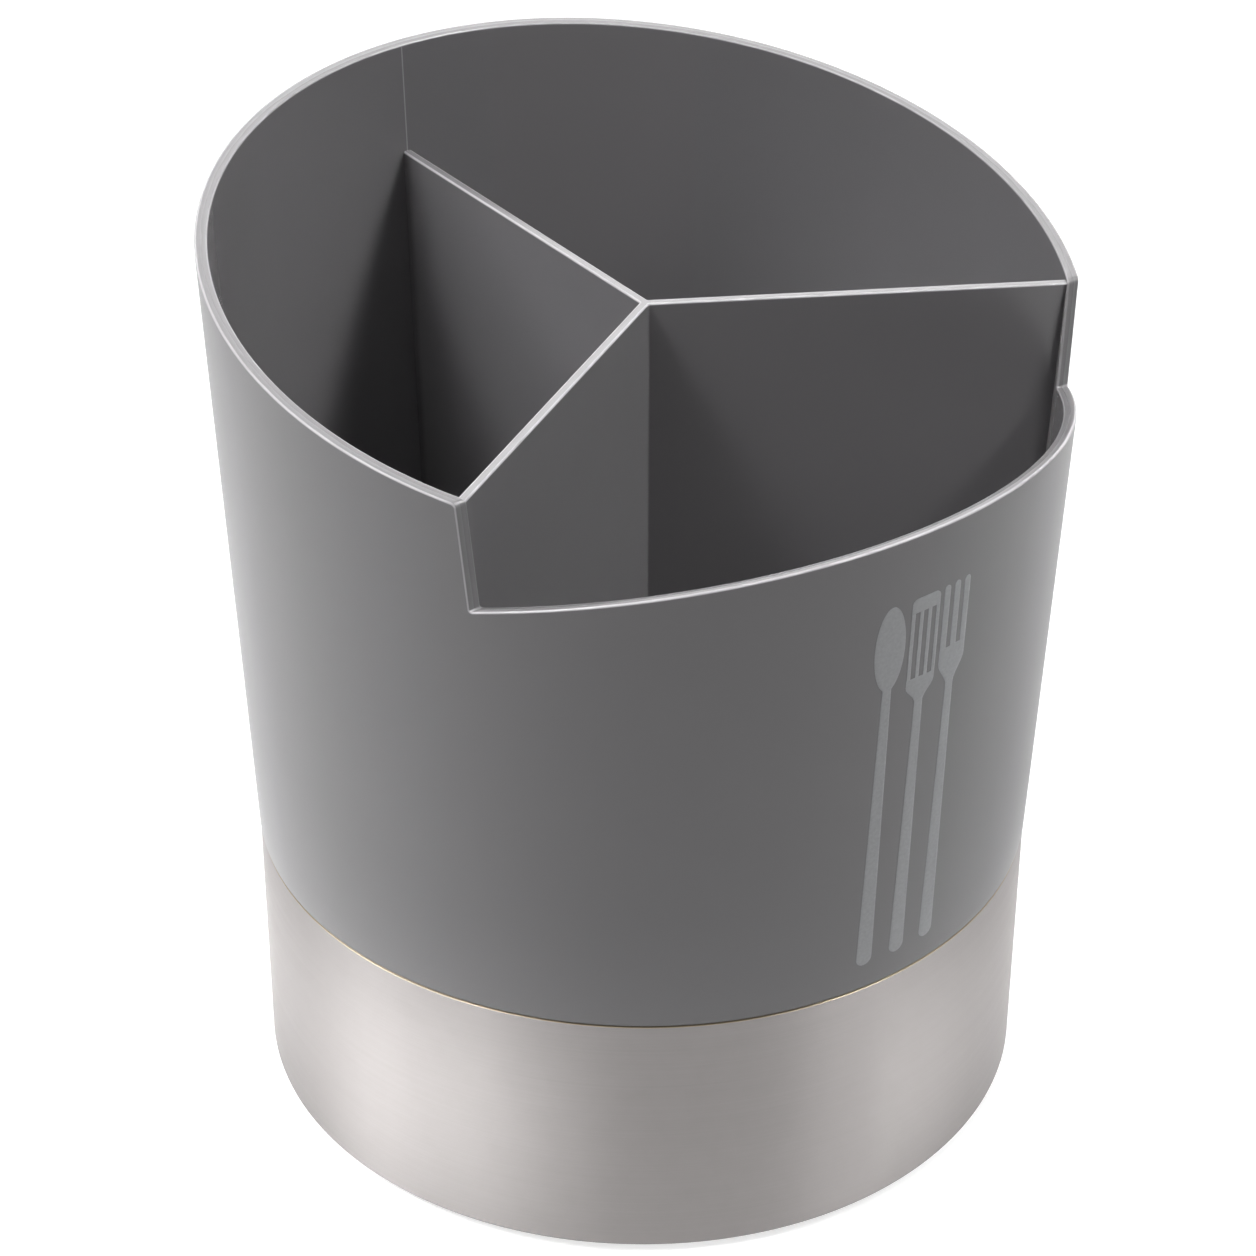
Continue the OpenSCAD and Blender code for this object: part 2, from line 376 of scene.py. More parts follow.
class Surface:
    """Gathers grids of points into one closed mesh whose seams are welded."""

    def __init__(self):
        """Starts with no points, no faces and two empty lists of marks."""
        self.points = []
        self.faces = []
        self.marks = {"edge": [], "polish": []}
        self.count = 0

    def mark(self, shape, edge, polish):
        """Notes how strong an edge's painted highlight is and whether the mould was polished, for each
        point.
        """
        self.marks["edge"].append(np.broadcast_to(edge, shape).ravel())
        self.marks["polish"].append(np.broadcast_to(polish, shape).ravel())

    def grid(self, points, wrap=False, edge=0.0, polish=0.0):
        """Adds the quads of a grid of rows and columns. With wrap, the last column joins the first."""
        rows, columns = points.shape[:2]
        self.mark((rows, columns), edge, polish)
        index = self.count + np.arange(rows * columns).reshape(rows, columns)
        if wrap:
            index = np.concatenate([index, index[:, :1]], axis=1)
        quads = np.stack([index[:-1, :-1], index[:-1, 1:], index[1:, 1:], index[1:, :-1]], axis=-1)
        self.points.append(points.reshape(-1, 3))
        self.faces.extend(quads.reshape(-1, 4).tolist())
        self.count += rows * columns

    def fan(self, ring, centre, polish=0.0):
        """Closes a ring of points with triangles to its centre."""
        self.mark(len(ring) + 1, 0.0, polish)
        index = self.count + np.arange(len(ring))
        middle = self.count + len(ring)
        triangles = np.stack([index, np.roll(index, -1), np.full(len(ring), middle)], axis=-1)
        self.points.append(np.vstack([ring, [centre]]))
        self.faces.extend(triangles.tolist())
        self.count += len(ring) + 1

    def finish(self, name, material, replaced=()):
        """Makes the object in metres, welds its seams, turns its faces outwards and shades it."""
        mesh = bpy.data.meshes.new(name)
        mesh.from_pydata((np.vstack(self.points) * MM).tolist(), [], self.faces)
        for label, values in self.marks.items():
            layer = mesh.attributes.new(label, "FLOAT", "POINT")
            layer.data.foreach_set("value", np.concatenate(values).astype(np.float32))
        work = bmesh.new()
        work.from_mesh(mesh)
        bmesh.ops.remove_doubles(work, verts=work.verts, dist=WELD)
        bmesh.ops.dissolve_degenerate(work, edges=work.edges, dist=WELD)
        bmesh.ops.recalc_face_normals(work, faces=work.faces)
        work.to_mesh(mesh)
        work.free()
        mesh.shade_smooth()
        weigh_normals(mesh)
        mesh.materials.append(material)
        piece = bpy.data.objects.new(name, mesh)
        bpy.context.scene.collection.objects.link(piece)
        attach(piece, "root")
        if replaced:
            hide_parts(*replaced)
        return piece


def weigh_normals(mesh):
    """Gives each vertex the mean of its faces' normals by area, so fine edges don't tint walls."""
    count = len(mesh.vertices)
    loops = np.empty(len(mesh.loops), int)
    mesh.loops.foreach_get("vertex_index", loops)
    totals = np.empty(len(mesh.polygons), int)
    mesh.polygons.foreach_get("loop_total", totals)
    normals = np.empty(len(mesh.polygons) * 3)
    mesh.polygons.foreach_get("normal", normals)
    areas = np.empty(len(mesh.polygons))
    mesh.polygons.foreach_get("area", areas)
    weighted = np.repeat(normals.reshape(-1, 3) * areas[:, None], totals, axis=0)
    summed = np.stack([np.bincount(loops, weighted[:, i], count) for i in range(3)], axis=-1)
    mesh.normals_split_custom_set_from_vertices(unit(summed).tolist())


# Materials
def new_material(name):
    """A material with nodes, and its Principled shader."""
    material = bpy.data.materials.new(name)
    material.use_nodes = True
    return material, material.node_tree.nodes["Principled BSDF"]


def add_node(material, kind, **settings):
    """A new node, whose settings are values of its inputs or else its own properties."""
    node = material.node_tree.nodes.new(kind)
    for key, value in settings.items():
        if key in node.inputs:
            node.inputs[key].default_value = value
        else:
            setattr(node, key, value)
    return node


def link(material, source, target):
    """Joins an output socket to an input socket."""
    material.node_tree.links.new(source, target)


def object_noise(material, texture, detail=2.0, roughness=0.5):
    """Noise on Object coordinates, which are metres, with the texture's stretch and scale."""
    stretch, scale = texture
    coordinates = add_node(material, "ShaderNodeTexCoord")
    mapping = add_node(material, "ShaderNodeMapping")
    mapping.inputs["Scale"].default_value = stretch
    noise = add_node(material, "ShaderNodeTexNoise", Scale=scale, Detail=detail, Roughness=roughness)
    link(material, coordinates.outputs["Object"], mapping.inputs["Vector"])
    link(material, mapping.outputs["Vector"], noise.inputs["Vector"])
    return noise.outputs["Fac"]


def between(material, factor, low, high):
    """The factor from 0 to 1 carried to the range from low to high."""
    ranged = add_node(material, "ShaderNodeMapRange")
    ranged.inputs["To Min"].default_value = low
    ranged.inputs["To Max"].default_value = high
    link(material, factor, ranged.inputs["Value"])
    return ranged.outputs["Result"]


def scaled(colour, factor):
    """An opaque colour that is the given one times the factor."""
    return [c * factor for c in colour[:3]] + [1]


def mixed(material, factor, low, high, kind):
    """A mix of colours or numbers, which are constants or sockets, by a factor that may be either."""
    mix = add_node(material, "ShaderNodeMix", data_type=kind)
    first = MIX_FIRST[kind]
    for index, value in ((0, factor), (first, low), (first + 1, high)):
        if isinstance(value, bpy.types.NodeSocket):
            link(material, value, mix.inputs[index])
        else:
            mix.inputs[index].default_value = value
    return mix.outputs[MIX_OUTPUT[kind]]


# The Mix node's first input and its output for each kind of data
MIX_FIRST = {"FLOAT": 2, "RGBA": 6}
MIX_OUTPUT = {"FLOAT": 0, "RGBA": 2}


def mark_of(material, label):
    """The value of one of the mesh's own marks, edge or polish."""
    return add_node(material, "ShaderNodeAttribute", attribute_name=label).outputs["Fac"]


def tint(material, factor, colour, spread):
    """The colour, darker by spread where the factor is 0 and lighter by spread where it is 1."""
    return mixed(material, factor, scaled(colour, 1 - spread), scaled(colour, 1 + spread), "RGBA")


def bump(material, shader, height, distance):
    """Gives the shader a bump whose full height is the distance, in metres."""
    node = add_node(material, "ShaderNodeBump", Strength=1.0, Distance=distance)
    link(material, height, node.inputs["Height"])
    link(material, node.outputs["Normal"], shader.inputs["Normal"])


def moulded_plastic(name, colour, satin, polished, grain):
    """Moulded plastic: satin where the mould was etched and glossier where it was polished.

    satin and polished are the ranges of roughness. Colour and gloss are faintly mottled, the mould's
    grain is a fine bump, and a painted highlight lightens the marked edges.
    """
    material, shader = new_material(name)
    mottling = object_noise(material, MOTTLING, detail=3)
    plain = tint(material, mottling, colour, PLASTIC_SPREAD)
    # The edge mark lightens the colour: a painted highlight on the rounded edges
    edge_highlight = mixed(material, mark_of(material, "edge"), plain, scaled(colour, EDGE_HIGHLIGHT_LIFT), "RGBA")
    link(material, edge_highlight, shader.inputs["Base Color"])
    haze = object_noise(material, HAZE, detail=4)
    etched = between(material, haze, *satin)
    shiny = between(material, haze, *polished)
    gloss = mixed(material, mark_of(material, "polish"), etched, shiny, "FLOAT")
    link(material, gloss, shader.inputs["Roughness"])
    bump(material, shader, object_noise(material, GRAIN), grain)
    shader.inputs["IOR"].default_value = PLASTIC_IOR
    return material


def brushed_steel(name):
    """Stainless steel brushed round the axis: fine streaks that are long round it and thin up it.

    A faint cloud lies over the streaks, and a painted highlight makes the sheet's upper edge paler and
    warmer.
    """
    material, shader = new_material(name)
    shader.inputs["Metallic"].default_value = 1.0
    shader.inputs["Anisotropic"].default_value = STEEL_ANISOTROPY
    shader.inputs["Anisotropic Rotation"].default_value = STEEL_ROTATION
    fine = object_noise(material, BRUSH_FINE)
    broad = object_noise(material, BRUSH_BROAD)
    cloud = object_noise(material, STEEL_CLOUD, detail=3, roughness=0.6)
    grain = mixed(material, STEEL_CLOUD_SHARE, fine, cloud, "FLOAT")
    sheet = tint(material, grain, STEEL_COLOUR, STEEL_SPREAD)
    # The edge mark turns the colour paler and warmer: a painted highlight on the band's upper edge
    highlighted_sheet = mixed(material, mark_of(material, "edge"), sheet, BAND_EDGE_HIGHLIGHT_COLOUR, "RGBA")
    link(material, highlighted_sheet, shader.inputs["Base Color"])
    link(material, between(material, broad, *STEEL_ROUGHNESS), shader.inputs["Roughness"])
    bump(material, shader, fine, BRUSH_DEPTH)
    tangent = add_node(material, "ShaderNodeTangent", direction_type="RADIAL", axis="Z")
    link(material, tangent.outputs["Tangent"], shader.inputs["Tangent"])
    return material


def speckled(name, colour, spread, roughness, speckle, detail, relief, depth):
    """A matt finish whose colour and roughness share one noise, with a bump from a second one."""
    material, shader = new_material(name)
    noise = object_noise(material, speckle, detail=detail)
    link(material, tint(material, noise, colour, spread), shader.inputs["Base Color"])
    link(material, between(material, noise, *roughness), shader.inputs["Roughness"])
    bump(material, shader, object_noise(material, relief), depth)
    return material


def soft_rubber(name):
    """Matt rubber with a fine pitted skin."""
    look = (RUBBER_COLOUR, RUBBER_SPREAD, RUBBER_ROUGHNESS)
    return speckled(name, *look, RUBBER_CLOUD, 3, PITS, RUBBER_PITS)


def printed_ink(name):
    """Light grey screen print, with the fine speckle of ink on a grained wall."""
    look = (INK_COLOUR, INK_SPREAD, INK_ROUGHNESS)
    return speckled(name, *look, SPECKLE, 2, SPECKLE, INK_SPECKLE)


GREY_PLASTIC = moulded_plastic(
    "satin_grey_plastic", PLASTIC_COLOUR, PLASTIC_SATIN, PLASTIC_POLISHED, MOULD_GRAIN
)
PLATE_PLASTIC = moulded_plastic(
    "dark_grey_plastic", PLATE_COLOUR, PLATE_SATIN, PLATE_POLISHED, PLATE_GRAIN
)
STEEL = brushed_steel("round_brushed_steel")
RUBBER = soft_rubber("black_rubber")
INK = printed_ink("light_grey_ink")


# The moulding
def rounded_side_corner(a, b, c, radius):
    """The fillet at corner b of the side view, between the sides to a and to c."""
    a, b, c = (np.array(p, float) for p in (a, b, c))
    return arc_between(b, unit(a - b), unit(c - b), radius, 2 * CORNER_STEPS)


def rim_height(y_of_z, start, slope):
    """Height where the wall meets a rim plane z = start + slope * y, by repeated substitution."""
    z = start
    for _ in range(RIM_ROUNDS):
        z = start + slope * y_of_z(z)
    return z


def rim_path():
    """The rim's outer edge on the right half, from the lip round to the back, seen from the side.

    Straight along the low rim, round the foot of the step, up its face, round its top and straight
    along the high rim. Returns the azimuth, y, z and side-view direction of each point, and the
    indices of the middle points of the two corners.
    """
    back = (STEP_Y + SIDE_REACH, STEP_TOP_Z + SIDE_REACH * BACK_SLOPE)
    top = (STEP_Y, STEP_TOP_Z)
    foot = (STEP_FOOT_Y, STEP_FOOT_Z)
    lip = (STEP_FOOT_Y - SIDE_REACH, STEP_FOOT_Z - SIDE_REACH * LIP_SLOPE)
    foot_arc = rounded_side_corner(lip, foot, top, STEP_FOOT_R)
    top_arc = rounded_side_corner(foot, top, back, STEP_TOP_R)
    face = np.linspace(foot_arc[-1], top_arc[0], STEP_ROWS + 1)[1:-1]
    steep = np.vstack([foot_arc, face, top_arc])
    steep_turn = np.arcsin(steep[:, 0] / wall_r(steep[:, 1]))

    def along_rim(turns, start, slope):
        """The y and z of the wall's outside at each azimuth, on a rim plane."""
        z = rim_height(lambda z: wall_r(z) * np.sin(turns), start, slope)
        return np.stack([wall_r(z) * np.sin(turns), z], axis=-1)

    lip_turn = np.linspace(-math.pi / 2, steep_turn[0], LIP_COLUMNS + 1)[:-1]
    fine = np.array([WITNESS_FLANK * WITNESS_W, WITNESS_W / 2]) / inside_r(BACK_H)
    back_turn = np.linspace(steep_turn[-1], math.pi / 2, BACK_COLUMNS + 1)[1:]
    back_turn = np.concatenate([back_turn[:-1], math.pi / 2 - fine, [math.pi / 2]])
    turn = np.concatenate([lip_turn, steep_turn, back_turn])
    side = np.vstack([
        along_rim(lip_turn, LIP_START, LIP_SLOPE),
        steep,
        along_rim(back_turn, BACK_START, BACK_SLOPE),
    ])
    lip_way = unit(np.array([1, LIP_SLOPE]))
    face_way = unit(np.array([STEP_Y - STEP_FOOT_Y, STEP_TOP_Z - STEP_FOOT_Z]))
    back_way = unit(np.array([1, BACK_SLOPE]))

    def swing(way_a, way_b, count):
        """Directions turned evenly from one unit vector to the other."""
        t = np.linspace(0, 1, count)[:, None]
        angle = math.acos(float(way_a @ way_b))
        return (np.sin((1 - t) * angle) * way_a + np.sin(t * angle) * way_b) / math.sin(angle)

    way = np.vstack([
        np.tile(lip_way, (len(lip_turn), 1)),
        swing(lip_way, face_way, len(foot_arc)),
        np.tile(face_way, (len(face), 1)),
        swing(face_way, back_way, len(top_arc)),
        np.tile(back_way, (len(back_turn), 1)),
    ])
    foot_middle = len(lip_turn) + CORNER_STEPS
    top_middle = len(lip_turn) + len(foot_arc) + len(face) + CORNER_STEPS
    return turn, side, way, foot_middle, top_middle


def wall_frame(turn, way):
    """Directions on the leaning wall at each rim point: into the material, square to the rim.

    The rim's direction has a part round the wall, way_y - lean * sin(turn) * way_z, and a part up
    it, way_z * cos(turn) / cos(lean). The inward direction is that, turned a quarter to the right.
    """
    lean = tan(WALL_LEAN)
    around = way[:, 0] - lean * np.sin(turn) * way[:, 1]
    up = way[:, 1] * np.cos(turn) * math.hypot(1, lean)
    around, up = unit(np.stack([around, up], axis=-1)).T
    round_way = polar(1, turn + math.pi / 2, 0)
    up_way = unit(polar(lean, turn, 1))
    return up[:, None] * round_way - around[:, None] * up_way


def on_cone(points, radius):
    """The points moved onto the surface whose radius is given by height."""
    turn = np.arctan2(points[..., 1], points[..., 0])
    return polar(radius(points[..., 2]), turn, points[..., 2])


def rim_section():
    """The rounded rim of the right half, as rows across the wall for each point of the path.

    The inner edge stands beside the outer one: straight across in x on the steps, and at the same
    azimuth a good way round from them.
    """
    turn, side, way, foot_middle, top_middle = rim_path()
    y, z = side.T
    first = LIP_COLUMNS
    last = len(turn) - (BACK_COLUMNS + 2) - 1
    inner_turn = np.arcsin(np.clip(y / inside_r(z), -1, 1))
    steep = np.zeros(len(turn), bool)
    steep[first : last + 1] = True

    def eased(distance):
        """From 1 at the step to 0 at the fade's end, by the cubic 1 - 3 t^2 + 2 t^3."""
        t = np.clip(distance / math.radians(STEP_FADE), 0, 1)
        return 1 - t * t * (3 - 2 * t)

    lip_gap = inner_turn[first] - turn[first]
    back_gap = inner_turn[last] - turn[last]
    shifted = turn + lip_gap * eased(turn[first] - turn) * (turn < turn[first])
    shifted = shifted + back_gap * eased(turn - turn[last]) * (turn > turn[last])
    inner_turn = np.where(steep, inner_turn, shifted)
    start = np.where(np.arange(len(turn)) < first, LIP_START, BACK_START)
    slope = np.where(np.arange(len(turn)) < first, LIP_SLOPE, BACK_SLOPE)
    inner_z = rim_height(lambda h: inside_r(h) * np.sin(inner_turn), start, slope)
    inner_z = np.where(steep, z, inner_z)
    outer = polar(wall_r(z), turn, z)
    inner = polar(inside_r(inner_z), inner_turn, inner_z)
    across = unit(inner - outer)
    outer_arc = arc_between(outer, wall_frame(turn, way), across, RIM_OUTER_EDGE_R, EDGE_STEPS)
    inner_arc = arc_between(inner, -across, wall_frame(inner_turn, way), RIM_INNER_EDGE_R, EDGE_STEPS)
    outer_arc[:, 0] = on_cone(outer_arc[:, 0], wall_r)
    inner_arc[:, -1] = on_cone(inner_arc[:, -1], inside_r)
    outer_arc[[0, -1], :, 0] = 0
    inner_arc[[0, -1], :, 0] = 0
    return np.concatenate([outer_arc, inner_arc], axis=1), foot_middle, top_middle


def whole(right):
    """The right half, columns by rows, carried on round the left half as its mirror image."""
    left = right[-2:0:-1] * np.array([-1, 1, 1])
    return np.concatenate([right, left])


def high_wall(edge, foot_middle, top_middle, radius):
    """The wall above the join line on the right half, from the step round to the back.

    A Coons patch in azimuth and height: the sum of the blends between its opposite sides, less the
    blend of its four corners. Returns the grid, and the columns' azimuths at the join line.
    """
    turn = np.arctan2(edge[:, 1], edge[:, 0])
    flat = np.stack([turn, edge[:, 2]], axis=-1)
    left = flat[foot_middle : top_middle + 1]
    top = flat[top_middle:]
    t = np.concatenate([[0], np.cumsum(np.linalg.norm(np.diff(left * [ROUND_R, 1], axis=0), axis=1))])
    t = (t / t[-1])[:, None, None]
    s = (top[:, 0] - top[0, 0]) / (top[-1, 0] - top[0, 0])
    bottom = np.stack([left[0, 0] + s * (top[-1, 0] - left[0, 0]), np.full(len(s), left[0, 1])], -1)
    right = bottom[-1] + t[:, 0] * (top[-1] - bottom[-1])
    s = s[None, :, None]
    upright = (1 - t) * bottom[None] + t * top[None]
    level = (1 - s) * left[:, None] + s * right[:, None]
    corners = (1 - t) * ((1 - s) * bottom[0] + s * bottom[-1]) + t * ((1 - s) * top[0] + s * top[-1])
    patch = upright + level - corners
    return polar(radius(patch[..., 1]), patch[..., 0], patch[..., 1]), bottom


def low_wall(edge, foot_middle, bottom, low_z, radius, rows):
    """The wall from low_z up to the low rim in front and to the join line behind, right half."""
    turn = np.concatenate([np.arctan2(edge[:foot_middle, 1], edge[:foot_middle, 0]), bottom[:, 0]])
    top_z = np.concatenate([edge[:foot_middle, 2], bottom[:, 1]])
    t = np.linspace(0, 1, rows + 1)[:, None]
    z = low_z + t * (top_z - low_z)
    return polar(radius(z), turn[None], z), turn


def revolve_columns(profile, turns):
    """A profile of radius and height pairs turned to each azimuth: rows by columns."""
    profile = np.array(profile, float)
    return polar(profile[:, :1], turns[None], profile[:, 1:])


def make_moulding():
    """The wall with its slanted, stepped and rounded rim, the floor, the sleeve and the skirt."""
    section, foot_middle, top_middle = rim_section()
    surface = Surface()
    across = np.arange(section.shape[1])[:, None]
    # The rounded rim edges are marked for a painted highlight, strongest mid-arc and weaker inside
    hump = np.sin(np.linspace(0, math.pi, EDGE_STEPS + 1))
    edge_highlight = np.concatenate([hump, INNER_EDGE_SHARE * hump])[:, None]
    polished = across > EDGE_STEPS
    surface.grid(whole(section).transpose(1, 0, 2), wrap=True, edge=edge_highlight, polish=polished)

    outer_high, outer_bottom = high_wall(section[:, 0], foot_middle, top_middle, wall_r)
    inner_high, inner_bottom = high_wall(section[:, -1], foot_middle, top_middle, inside_r)
    back = inner_high[1:-1, :]
    off_middle = np.abs(np.arctan2(back[..., 0], back[..., 1])) * inside_r(BACK_H)
    raised = (off_middle < WITNESS_W * WITNESS_REACH) & (back[..., 2] < BACK_H)
    back[..., 1] -= WITNESS_H * raised
    # Where the witness line runs above the dividers it is marked for a painted highlight
    line = np.zeros(inner_high.shape[:2])
    line[1:-1] = WITNESS_HIGHLIGHT_LIFT * raised * (back[..., 2] > DIVIDER_Z)
    for half, mark, polish in ((outer_high, line * 0, 0.0), (inner_high, line, 1.0)):
        columns = half.transpose(1, 0, 2)
        both = np.concatenate([columns, columns[-2::-1] * np.array([-1, 1, 1])])
        mark = np.concatenate([mark, mark[:, -2::-1]], axis=1)
        surface.grid(both.transpose(1, 0, 2), edge=mark, polish=polish)

    shoulder_top = SHOULDER_Z + SHOULDER_CHAMFER
    outer_low, outer_turn = low_wall(
        section[:, 0], foot_middle, outer_bottom, shoulder_top, wall_r, WALL_ROWS
    )
    inner_low, inner_turn = low_wall(
        section[:, -1], foot_middle, inner_bottom, SHOULDER_Z, inside_r, WALL_ROWS
    )
    for half, polish in ((outer_low, 0.0), (inner_low, 1.0)):
        surface.grid(whole(half.transpose(1, 0, 2)).transpose(1, 0, 2), wrap=True, polish=polish)

    skirt_in = BAND_R - HEM_R - SKIRT_T
    under = [
        (skirt_in / 2, FLOOR_UNDER_Z),
        (skirt_in, FLOOR_UNDER_Z),
        (skirt_in, SKIRT_Z),
        (sleeve_r(SKIRT_Z) - SKIRT_CHAMFER, SKIRT_Z),
        (sleeve_r(SKIRT_Z), SKIRT_Z + SKIRT_CHAMFER),
        (sleeve_r(SHOULDER_Z), SHOULDER_Z),
        (wall_r(SHOULDER_Z) - SHOULDER_CHAMFER, SHOULDER_Z),
        (wall_r(shoulder_top), shoulder_top),
    ]
    low_z = FLOOR_Z + FLOOR_R
    low_r = float(inside_r(np.array(low_z)))
    swing = np.linspace(0, math.pi / 2, FLOOR_STEPS + 1)
    curve = np.stack([low_r - FLOOR_R * (1 - np.cos(swing)), low_z - FLOOR_R * np.sin(swing)], -1)
    down = np.linspace(SHOULDER_Z, low_z, SLEEVE_ROWS)[:-1]
    inside = [(float(inside_r(np.array(z))), z) for z in down]
    inside += curve.tolist() + [(low_r * share, FLOOR_Z) for share in FLOOR_RINGS]

    outer_ring = np.concatenate([outer_turn, math.pi - outer_turn[-2:0:-1]])
    inner_ring = np.concatenate([inner_turn, math.pi - inner_turn[-2:0:-1]])
    for profile, ring, polish in ((under, outer_ring, 0.0), (inside, inner_ring, 1.0)):
        surface.grid(revolve_columns(profile, ring), wrap=True, polish=polish)
        pole_r, pole_z = min(profile, key=lambda pair: pair[0])
        surface.fan(polar(pole_r, ring, pole_z), (0, 0, pole_z), polish=polish)
    return surface.finish("wall_and_floor", GREY_PLASTIC, ["holder_body"])


def divider_outline(half, end_r):
    """The outline of the three dividers from above, with a fillet in each corner at the axis.

    Each arm runs out on its right side, across its end and back on its left side, and an arc of 60
    degrees leads to the next arm. Returns the stations of the arms, right then left, and the arcs.
    """
    centre = (half + DIVIDER_FILLET) / math.tan(math.pi / DIVIDERS)
    reach = math.sqrt(end_r**2 - half**2)
    station = centre + (reach - centre) * np.linspace(0, 1, ARM_STATIONS)
    arms = []
    for i in range(DIVIDERS):
        turn = math.pi / 2 + i * 2 * math.pi / DIVIDERS
        ahead = np.array([math.cos(turn), math.sin(turn)])
        aside = np.array([-math.sin(turn), math.cos(turn)])
        right = station[:, None] * ahead - half * aside
        left = station[:, None] * ahead + half * aside
        pivot = centre * ahead + (half + DIVIDER_FILLET) * aside
        part = np.linspace(0, 1, DIVIDER_CORNER_STEPS + 1)
        angle = turn - math.pi / 2 - part * (math.pi - 2 * math.pi / DIVIDERS)
        corner = pivot + DIVIDER_FILLET * np.stack([np.cos(angle), np.sin(angle)], axis=-1)
        arms.append((right, left, corner))
    return arms


def make_dividers():
    """Three dividers that meet on the axis: a drafted loft with a rounded upper edge."""
    foot_z = FLOOR_Z - FLOOR_T / 2
    swing = np.linspace(0, math.pi / 2, EDGE_STEPS + 1)
    straight = np.linspace(foot_z, DIVIDER_Z - DIVIDER_EDGE_R, DIVIDER_ROWS)
    heights = np.concatenate([straight, straight[-1] + DIVIDER_EDGE_R * np.sin(swing[1:])])
    taken = np.concatenate([np.zeros(DIVIDER_ROWS), DIVIDER_EDGE_R * (1 - np.cos(swing[1:]))])
    surface = Surface()
    rings = []
    for z, less in zip(heights, taken):
        half = DIVIDER_T / 2 + (DIVIDER_Z - z) * tan(DIVIDER_DRAFT) - less
        arms = divider_outline(half, float(inside_r(np.array(z))) + DIVIDER_BITE)
        sides = [(right, left[::-1], corner[1:-1]) for right, left, corner in arms]
        loop = np.vstack([part for arm in sides for part in arm])
        rings.append(np.column_stack([loop, np.full(len(loop), z)]))
        if z in (heights[0], heights[-1]):
            middle = []
            for right, left, corner in arms:
                both = np.stack([right, left])
                lid = np.concatenate([both, np.full(both.shape[:2] + (1,), z)], axis=-1)
                surface.grid(lid, polish=1.0)
                middle += [right[0], left[0], *corner[1:-1]]
            middle = np.column_stack([middle, np.full(len(middle), z)])
            surface.fan(middle, (0, 0, z), polish=1.0)
    # The rounded upper edge is marked for a painted highlight
    edge_highlight = np.concatenate([np.zeros(DIVIDER_ROWS), np.sin(2 * swing[1:])])[:, None]
    surface.grid(np.stack(rings), wrap=True, edge=edge_highlight, polish=1.0)
    return surface.finish("dividers", GREY_PLASTIC)


def full_turn(columns):
    """Azimuths of that many columns, evenly all the way round."""
    return np.linspace(0, 2 * math.pi, columns + 1)[:-1]


def arc_points(centre, radius, start, end, steps):
    """Points of an arc in the half section, with its angles in degrees."""
    angle = np.radians(np.linspace(start, end, steps + 1))
    points = [centre[0] + radius * np.cos(angle), centre[1] + radius * np.sin(angle)]
    return np.stack(points, -1).tolist()


def make_bosses():
    """The hollow bosses under the floor that hold the pegs of the plate."""
    surface = Surface()
    turns = full_turn(BOSS_COLUMNS)
    top = FLOOR_UNDER_Z + FLOOR_T / 2
    profile = [
        [BOSS_BORE_R, PLATE_TOP_Z + BOSS_BORE_H],
        [BOSS_BORE_R, PLATE_TOP_Z + BORE_EASE],
        [BOSS_BORE_R + BORE_EASE, PLATE_TOP_Z],
        [BOSS_R - BOSS_EASE, PLATE_TOP_Z],
        [BOSS_R, PLATE_TOP_Z + BOSS_EASE],
        [BOSS_R, top],
    ]
    for i in range(BOSS_COUNT):
        turn = math.pi / 2 + (i + 0.5) * 2 * math.pi / BOSS_COUNT
        place = np.array([BOSS_CIRCLE_R * math.cos(turn), BOSS_CIRCLE_R * math.sin(turn), 0])
        wall = revolve_columns(profile, turns) + place
        surface.grid(wall, wrap=True)
        surface.fan(wall[0], place + [0, 0, profile[0][1]])
        surface.fan(wall[-1], place + [0, 0, top])
    return surface.finish("plate_bosses", GREY_PLASTIC)


def make_band():
    """The rolled band: an upright sheet with eased upper edges and its lower edge turned in.

    The closed profile of the sheet is turned round the axis, and the butt seam at the back is a fine
    groove. The upper edge is marked for a painted highlight.
    """
    bend = (BAND_R - HEM_R, BAND_Z + HEM_R)
    hem_in = BAND_R - HEM_W
    edge = BAND_EDGE_R
    edge_z = BAND_TOP_Z - edge
    profile = [[hem_in, BAND_Z + HEM_EASE], [hem_in + HEM_EASE, BAND_Z]]
    profile += arc_points(bend, HEM_R, -90, 0, HEM_STEPS)
    profile += np.linspace((BAND_R, bend[1]), (BAND_TOP_R, edge_z), BAND_ROWS + 2)[1:-1].tolist()
    profile += arc_points((BAND_TOP_R - edge, edge_z), edge, 0, 90, EDGE_STEPS)
    profile += arc_points((BAND_TOP_R - BAND_T + edge, edge_z), edge, 90, 180, EDGE_STEPS)
    profile += arc_points(bend, HEM_R - BAND_T, 0, -90, EDGE_STEPS)
    profile += [[hem_in + HEM_EASE, BAND_Z + BAND_T], [hem_in, BAND_Z + BAND_T - HEM_EASE]]
    profile = np.array(profile + profile[:1])

    half_seam = SEAM_W / 2 / BAND_R
    back = math.pi / 2
    turns = full_turn(BAND_COLUMNS) - 3 * math.pi / 2
    fine = np.array(SEAM_COLUMNS) * half_seam
    turns = np.sort(np.concatenate([turns[np.abs(turns - back) > SEAM_CLEARING], back + fine]))
    outside = profile[:, :1] > BAND_R - BAND_T / 2
    seam = np.abs(np.sin((turns - back) / 2)) < SEAM_GROOVE / 2 * half_seam
    grid = revolve_columns(profile, turns)
    grid[..., 1] -= SEAM_DEPTH * (outside & seam[None])

    # Rows of the upper edge, marked for a painted highlight
    band_edge_highlight = (profile[:, 1:] > edge_z + BAND_EDGE_START) * 1.0
    surface = Surface()
    surface.grid(grid, wrap=True, edge=band_edge_highlight)
    return surface.finish("rolled_band", STEEL, ["steel_band"])


